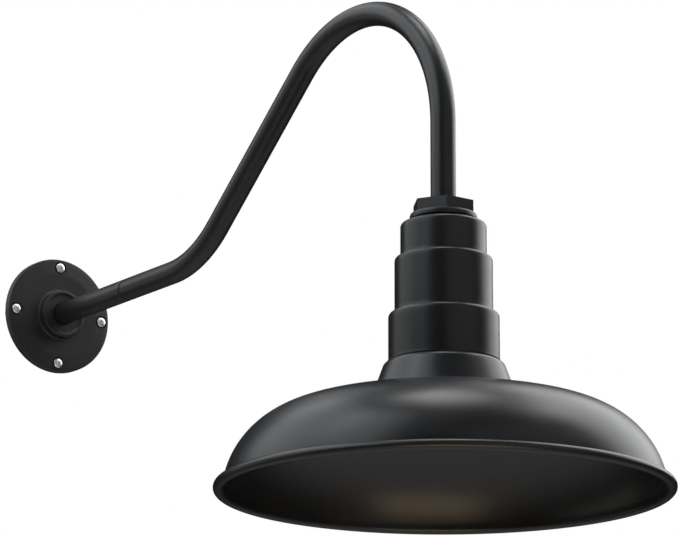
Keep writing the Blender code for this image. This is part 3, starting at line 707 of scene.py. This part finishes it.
def makeMachineScrew(headRadius, headHeight, seat, end, sizes):
    # dome of the head: r = R sin t, z = seat + H (0.35 + 0.65 cos t); then the threaded shank
    t = np.linspace(0, pi / 2, 12)
    dome = np.stack([headRadius * np.sin(t), seat + headHeight * (0.35 + 0.65 * np.cos(t))], axis=1)
    under = filletLine([
        tuple(dome[-1]) + (0,), (headRadius, seat + 0.0002, 0), (headRadius - 0.0002, seat, 0),
        (sizes["shank"], seat, 0), (sizes["shank"], end + sizes["shank"] * 0.4, 0),
        (sizes["shank"] * 0.6, end, 0), (0, end, 0)])
    line = densify(np.concatenate([dome, under[1:]]), sizes["threadPitch"] / 6)
    swell = threadSwell(sizes["threadDepth"], sizes["threadPitch"], seat - 0.001, end + 0.0002)
    shank = line[:, 0] > sizes["shank"] * 0.7
    onShank = turnedPoints(line, sizes["around"], lambda t, z: swell(t, z) * shank)
    blank = gridMesh("screwBlank", onShank, loop=False)
    tool = recessTool(seat + headHeight, sizes["recessHalf"], sizes["recessSlot"], sizes["recessDepth"])
    return cutMesh(blank, [tool], sharp=32)


def layMesh(mesh, turn, place):
    # the mesh's own points are turned and placed, so that its object can stay at the origin
    mesh.transform(Matrix.Translation(place) @ turn.to_4x4())
    return mesh


def makePlateScrews():
    out = Matrix(((0, 0, 1), (0, 1, 0), (-1, 0, 0)))
    for number in range(1, 5):
        low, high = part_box(f"mounting_screw_{number}")
        seat = plateSizes["edge"] - plateSizes["seatDepth"] + 0.0003
        screw = makeMachineScrew((high.y - low.y + high.z - low.z) / 4 + 0.00006, high.x - seat, seat, low.x,
                                 screwSizes)
        spin = Matrix.Rotation(0.5 + 1.1 * number, 3, "X")
        place = Vector((0, (low.y + high.y) / 2, (low.z + high.z) / 2))
        addPiece(f"mountingScrew{number}", layMesh(screw, spin @ out, place), "wall_mount", "zinc",
                 finishes["zinc"], f"mounting_screw_{number}")
    low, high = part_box("ground_screw")
    radius = (high.y - low.y) / 2
    ground = makeMachineScrew(radius, 0.0022, -plateSizes["floor"] + 0.0003, -high.x,
                              dict(screwSizes, recessHalf=0.0021, recessDepth=0.0012))
    back = Matrix(((0, 0, -1), (0, 1, 0), (1, 0, 0)))
    place = Vector((0, 0, (low.z + high.z) / 2))
    addPiece("groundScrew", layMesh(ground, back, place), "wall_mount", "green_zinc",
             finishes["green_zinc"], "ground_screw")


# The hexagonal hub on the end of the arm, with its round collar.

hubLow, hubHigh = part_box("hex_hub")

hubSizes = {
    "flats": 0.0444,
    "hexHeight": 0.0095,
    "collar": 0.0265,
    "collarRound": 0.0016,
    "floor": 0.0022,
    "nippleHole": 0.00865,
    "edge": 0.0003,
    "cornerRound": 0.0006,
    "around": 192,
}


def hexRadius(t, flats, cornerRound):
    # distance to the hexagon's side: flats / 2 / cos of the angle from the nearest side's middle,
    # held inside a circle a little smaller than the corners, blended as a soft minimum
    fromMiddle = (t + pi / 6) % (pi / 3) - pi / 6
    side = flats / 2 / np.cos(fromMiddle)
    limit = flats / 2 / cos(pi / 6) - cornerRound * 0.18
    blend = cornerRound * 0.12
    return -blend * np.logaddexp(-side / blend, -limit / blend)


def makeHub():
    sizes = hubSizes
    flat, top = sizes["flats"] / 2, hubHigh.z
    bottom = hubLow.z
    hexBottom = top - sizes["hexHeight"]
    tubeHole = tubeRadius + 0.0003
    corner = flat / cos(pi / 6)
    hexRows = filletLine([
        (tubeHole, top - 0.0004, 0), (tubeHole + 0.0004, top, 0), (corner, top, sizes["edge"]),
        (corner, hexBottom, sizes["edge"]), (flat - 0.0002, hexBottom, 0)], steps=3)
    hexRows = densify(hexRows, 0.0010)
    lower = filletLine([
        (flat - 0.0004, hexBottom - 0.0002, 0), (sizes["collar"] - 0.0006, hexBottom - 0.0002, 0.0001),
        (sizes["collar"], hexBottom - sizes["collarRound"], 0.0006),
        (sizes["collar"], bottom, 0.0006), (sizes["nippleHole"], bottom, 0),
        (sizes["nippleHole"], bottom + sizes["floor"], 0), (tubeHole, bottom + sizes["floor"], 0)], steps=4)
    lower = densify(lower, 0.0015)
    bore = densify(np.array([(tubeHole, bottom + sizes["floor"]), (tubeHole, top - 0.0004)]), 0.003)[1:-1]
    line = np.concatenate([hexRows, lower, bore])
    t = np.linspace(0, 2 * pi, sizes["around"], endpoint=False)[:, None]
    radius = np.repeat(line[:, 0][None], sizes["around"], axis=0)
    count = len(hexRows)
    radius[:, :count] = np.minimum(radius[:, :count], hexRadius(t, sizes["flats"], sizes["cornerRound"]))
    points = np.stack([radius * np.cos(t), radius * np.sin(t), line[:, 1] + 0 * t], axis=2)
    mesh = gridMesh("hexHub", onShadeAxis(points))
    hubScrewLow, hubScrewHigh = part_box("hub_set_screw")
    hole = alongMinusX(plainCylinder(0.0023, 0, corner + 0.004, 32))
    middle = (hubScrewLow.z + hubScrewHigh.z) / 2
    tool = gridMesh("hubScrewTool", moved(hole, x=axisX, z=middle), loop=False)
    hub = cutMesh(mesh, [tool], sharp=28)
    addPiece("hexHub", hub, "head", "arm_paint", finishes["arm_paint"], "hex_hub")


def makeRing(name, node, body, slotName, inner, edge, lay=None):
    # a plain ring with rounded edges, as tall and wide as its node
    low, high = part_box(node)
    outer = (high.y - low.y) / 2
    bottom, top = (low.x, high.x) if lay else (low.z, high.z)
    line = filletLine([
        (inner, bottom + edge, 0), (inner, top, edge), (outer, top, edge), (outer, bottom, edge),
        (inner, bottom, edge), (inner, bottom + edge, 0)], steps=4)[:-1]
    points = turnedPoints(densify(line, 0.003), 128)
    points = lay(points) if lay else onShadeAxis(points)
    return addPiece(name, gridMesh(name, points), body, slotName, finishes[slotName], node)


# The lamp holder: a porcelain socket on a bent strap, with a rolled screw shell.

socketLow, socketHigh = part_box("socket_body")
shellLow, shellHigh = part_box("screw_shell")

holderSizes = {
    "wellDepth": 0.0075,
    "lipRound": 0.0012,
    "waist": 0.0015,
    "threadPitch": 0.00363,    # seven turns to the inch
    "threadDepth": 0.0005,
    "footSpacing": 0.0340,
    "terminalSpacing": 0.0250,
    "around": 96,
}


def makeSocket():
    sizes = holderSizes
    outer, top, bottom = (socketHigh.y - socketLow.y) / 2, socketHigh.z, socketLow.z
    tall = top - bottom
    bore = (shellHigh.y - shellLow.y) / 2 + 0.0003
    line = filletLine([
        (0, top, 0), (outer - sizes["waist"], top, 0.0006), (outer, top - sizes["waist"], 0.0006),
        (outer, top - tall * 0.18, 0.0004), (outer - 0.0006, top - tall * 0.18 - 0.0006, 0.0004),
        (outer - 0.0006, top - tall * 0.22, 0.0004), (outer, top - tall * 0.22 - 0.0006, 0.0004),
        (outer, top - tall * 0.55, 0.002), (outer - sizes["waist"], top - tall * 0.62, 0.002),
        (outer - sizes["waist"], bottom, sizes["lipRound"]), (bore, bottom, 0.0009),
        (bore, top - sizes["wellDepth"], 0.0003), (0, top - sizes["wellDepth"], 0)])
    points = onShadeAxis(turnedPoints(densify(line, 0.002), sizes["around"]))
    mesh = gridMesh("socketBody", points, loop=False)
    cutters = []
    for x, y in ((0, 1), (0, -1), (1, 0), (-1, 0)):
        apart = sizes["footSpacing"] / 2 if y else sizes["terminalSpacing"] / 2
        hole = plainCylinder(0.0019, top - (0.006 if y else 0.005), top + 0.002, 24)
        place = moved(hole, x=axisX + x * apart, y=y * apart)
        cutters.append(gridMesh("holeTool", place, loop=False))
    body = cutMesh(mesh, cutters, sharp=35)
    addPiece("socketBody", body, "head", "porcelain", finishes["porcelain"], "socket_body")


def makeScrewShell():
    # thin brass, its thread rolled through the whole wall
    sizes = holderSizes
    outer, top, bottom = (shellHigh.y - shellLow.y) / 2, shellHigh.z, shellLow.z
    wall = 0.0006
    line = densify(np.array([(outer - wall, top), (outer, top), (outer, bottom), (outer - wall, bottom),
                             (outer - wall, top)]), 0.0004)[:-1]
    swell = threadSwell(sizes["threadDepth"] * 0.5, sizes["threadPitch"], top - 0.001, bottom + 0.001, -1)
    points = onShadeAxis(turnedPoints(line, 72, swell))
    addPiece("screwShell", gridMesh("screwShell", points), "head", "brass", finishes["brass"], "screw_shell")


# The bulb: tip, insulator, threaded cap, white housing and opal globe.

bulbSizes = {
    "threadPitch": 0.00363,
    "threadDepth": 0.0009,
    "neckTop": 0.0135,
    "split": 0.18,             # where the globe meets the housing, as a share of its radius
    "ribs": 24,
    "around": 96,
}


def makeBulb():
    sizes = bulbSizes
    low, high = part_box("bulb_tip_contact")
    radius = (high.y - low.y) / 2
    tip = filletLine([
        (0, high.z, 0), (radius * 0.65, high.z - 0.0002, 0.003), (radius, low.z + 0.0002, 0.0002),
        (radius, low.z, 0), (0, low.z, 0)], steps=8)
    addPiece("bulbTipContact", gridMesh("bulbTipContact", onShadeAxis(turnedPoints(tip, 48)), loop=False),
             "bulb", "brass", finishes["brass"], "bulb_tip_contact")
    low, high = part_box("bulb_insulator")
    radius = (high.y - low.y) / 2
    cone = filletLine([
        (0, high.z, 0), (radius * 0.6, high.z, 0.0008), (radius, low.z, 0.0004), (0, low.z, 0)])
    cone = densify(cone, 0.001)
    addPiece("bulbInsulator", gridMesh("bulbInsulator", onShadeAxis(turnedPoints(cone, 64)), loop=False),
             "bulb", "black_glass", finishes["black_glass"], "bulb_insulator")

    low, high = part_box("bulb_cap")
    radius = (high.y - low.y) / 2
    cap = filletLine([(0, high.z, 0), (radius - 0.0030, high.z, 0.0008), (radius, high.z - 0.0024, 0.0010),
                      (radius, low.z + 0.0012, 0.0006), (radius - 0.0006, low.z, 0.0003), (0, low.z, 0)])
    cap = densify(cap, 0.0004)
    swell = threadSwell(sizes["threadDepth"], sizes["threadPitch"], high.z - 0.0020, low.z + 0.0030, -1)
    onSide = cap[:, 0] > radius * 0.9
    points = turnedPoints(cap, sizes["around"], lambda t, z: swell(t, z) * onSide)
    addPiece("bulbCap", gridMesh("bulbCap", onShadeAxis(points), loop=False), "bulb", "cap_metal",
             finishes["cap_metal"], "bulb_cap")

    globeLow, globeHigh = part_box("bulb_diffuser")
    low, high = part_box("bulb_housing")
    globe = (globeHigh.y - globeLow.y) / 2
    centre = globeLow.z + globe
    split = centre + globe * sizes["split"]
    edge = (globe ** 2 - (split - centre) ** 2) ** 0.5
    neck = sizes["neckTop"]
    housing = filletLine([
        (0, high.z, 0), (neck, high.z, 0.0010), (neck + 0.0010, high.z - 0.004, 0.004),
        (edge - 0.0002, split + 0.0012, 0.0006), (edge - 0.0002, low.z, 0), (0, low.z, 0)])
    housing = densify(housing, 0.0015)

    def ribs(t, z):
        # shallow cooling ribs that fade towards the neck and the seam
        share = np.clip((high.z - 0.007 - z) / 0.006, 0, 1) * np.clip((z - low.z - 0.003) / 0.004, 0, 1)
        return -0.0005 * share * (0.5 + 0.5 * np.cos(sizes["ribs"] * t)) ** 4
    points = onShadeAxis(turnedPoints(housing, sizes["ribs"] * 8, ribs))
    addPiece("bulbHousing", gridMesh("bulbHousing", points, loop=False), "bulb", "bulb_plastic",
             finishes["bulb_plastic"], "bulb_housing")

    start = np.arctan2(split - centre, edge)
    dome = arcLine((0, centre), globe, start, -pi / 2, 48)
    dome[-1, 0] = 0
    line = np.concatenate([[(0, split), (edge - 0.0006, split)], dome])
    addPiece("bulbDiffuser", gridMesh("bulbDiffuser", onShadeAxis(turnedPoints(densify(line, 0.004), 96)),
                                      loop=False),
             "bulb", "bulb_opal", finishes["bulb_opal"], "bulb_diffuser")


makeShade()
print("shade spun")
makeArm()
print("arm bent")
makeWallPlate()
makePlateScrews()
makeRing("wallGasket", "wall_gasket", "wall_mount", "rubber", 0.0313, 0.0006, alongX)
print("wall plate cast and screwed on")
makeHub()
makeRing("hubWasher", "hub_washer", "head", "rubber", 0.00865, 0.0006)
print("hub cut")
makeSocket()
makeScrewShell()
makeBulb()
print("lamp holder and bulb made")

# The small inner pieces keep their own shapes and take these finishes.
for entry in frame["record"]["subparts"]:
    node = frame["nodes"][entry["node"]]
    for place in node.material_slots:
        place.link = "OBJECT"
        place.material = finishes[entry["material_slot"]]


# Studio: a pale floor, a plain white surround and soft boxes placed round the shade as seen by the camera.

cameraSizes = {
    "place": (2.54597, -1.48678, -0.72323),
    "yaw": 144.57,
    "pitch": 14.71,
    "roll": 0.20,
    "lens": 172.2,
}


def makeCamera(sizes):
    yaw, pitch, roll = (radians(sizes[key]) for key in ("yaw", "pitch", "roll"))
    ahead = Vector((cos(pitch) * cos(yaw), cos(pitch) * sin(yaw), sin(pitch)))
    level = Vector((sin(yaw), -cos(yaw), 0))
    upright = level.cross(ahead)
    right = cos(roll) * level + sin(roll) * upright
    up = -sin(roll) * level + cos(roll) * upright
    data = bpy.data.cameras.new("studioCamera")
    data.sensor_width = 36
    data.lens = sizes["lens"]
    data.clip_start, data.clip_end = 0.05, 60
    camera = bpy.data.objects.new("studioCamera", data)
    turn = Matrix((right, up, -ahead)).transposed().to_4x4()
    camera.matrix_world = Matrix.Translation(sizes["place"]) @ turn
    bpy.context.scene.collection.objects.link(camera)
    bpy.context.scene.camera = camera


lightSizes = {
    # degrees round from the camera (+ to its right) and above level,
    # metres away, width, height, watts, colour
    "rearRightBank": (126, 37, 2.4, 2.2, 2.5, 50, (0.98, 0.99, 1.0)),
    "leftFrontBank": (-53, 40, 2.4, 1.3, 2.1, 16, (0.88, 0.95, 1.0)),
    "leftSideBank": (-100, 40, 2.4, 2.4, 2.1, 26, (0.92, 0.96, 1.0)),
    "leftLowPanel": (-98, 0, 2.4, 2.6, 1.3, 5, (1.0, 1.0, 0.90)),
    "warmFloorBounce": (8, -35, 2.4, 2.3, 1.3, 14, (1.0, 0.74, 0.44)),
    "frontHaze": (38, 16, 2.4, 3.0, 2.6, 8, (0.95, 0.97, 1.0)),
    "rightHighPanel": (90, 60, 2.4, 1.0, 0.7, 4, (1.0, 1.0, 1.0)),
    "rearLeftPanel": (-145, 50, 2.4, 1.2, 1.0, 3, (0.94, 0.97, 1.0)),
    "overhead": (0, 90, 2.4, 1.0, 1.0, 16, (1.0, 1.0, 1.0)),
}


def makeLights():
    centre = Vector((axisX, 0, -0.12))
    toCamera = radians(cameraSizes["yaw"] + 180)
    for name, (azimuth, elevation, away, width, height, watts, color) in lightSizes.items():
        turn, lift = toCamera + radians(azimuth), radians(elevation)
        offset = Vector((cos(turn) * cos(lift), sin(turn) * cos(lift), sin(lift)))
        data = bpy.data.lights.new(name, "AREA")
        data.shape = "RECTANGLE"
        data.size, data.size_y = width, height
        data.energy = watts
        data.color = color
        lamp = bpy.data.objects.new(name, data)
        lamp.location = centre + offset * away
        lamp.rotation_euler = offset.to_track_quat("Z", "Y").to_euler()
        lamp.visible_camera = False
        bpy.context.scene.collection.objects.link(lamp)


def makeSurround(glow=0.01):
    # white to the eye, dim as a light, so that dark paint keeps its depth
    world = bpy.data.worlds.new("studioSurround")
    world.use_nodes = True
    tree = world.node_tree
    background = tree.nodes["Background"]
    background.inputs["Color"].default_value = (1, 1, 1, 1)
    path = tree.nodes.new("ShaderNodeLightPath")
    strength = addRange(tree, path.outputs["Is Camera Ray"], 0, 1, glow, 1.0)
    tree.links.new(strength, background.inputs["Strength"])
    bpy.context.scene.world = world


def makeFloor(size=30.0, height=-2.2, paleness=0.75):
    # pale to the eye from above, clear from below, so that a low view isn't shut off
    mesh = bpy.data.meshes.new("paleFloor")
    corners = [(-size, -size), (size, -size), (size, size), (-size, size)]
    mesh.from_pydata([(x, y, height) for x, y in corners], [], [(0, 1, 2, 3)])
    material, tree, shader, where = startMaterial("palePaper", Roughness=0.9)
    peel = useGroup(tree, orangePeel, where, Cells=60.0, Drift=2.0)
    tree.links.new(mixColors(tree, peel.outputs["Mottle"], (0.80, 0.80, 0.80), (0.83, 0.83, 0.83)),
                   shader.inputs["Base Color"])
    shader.inputs["Emission Color"].default_value = (1, 1, 1, 1)
    path = addNode(tree, "ShaderNodeLightPath")
    toEye = addRange(tree, path.outputs["Is Camera Ray"], 0, 1, 0.0, paleness)
    tree.links.new(toEye, shader.inputs["Emission Strength"])
    side = addNode(tree, "ShaderNodeNewGeometry")
    clear = addNode(tree, "ShaderNodeBsdfTransparent")
    mix = addNode(tree, "ShaderNodeMixShader")
    tree.links.new(side.outputs["Backfacing"], mix.inputs["Fac"])
    tree.links.new(shader.outputs["BSDF"], mix.inputs[1])
    tree.links.new(clear.outputs["BSDF"], mix.inputs[2])
    surface = next(node for node in tree.nodes if node.type == "OUTPUT_MATERIAL")
    tree.links.new(mix.outputs["Shader"], surface.inputs["Surface"])
    mesh.materials.append(material)
    floor = bpy.data.objects.new("paleFloor", mesh)
    bpy.context.scene.collection.objects.link(floor)


makeCamera(cameraSizes)
makeLights()
makeSurround()
makeFloor()
bpy.context.scene.view_settings.view_transform = "Standard"
print("studio lit")
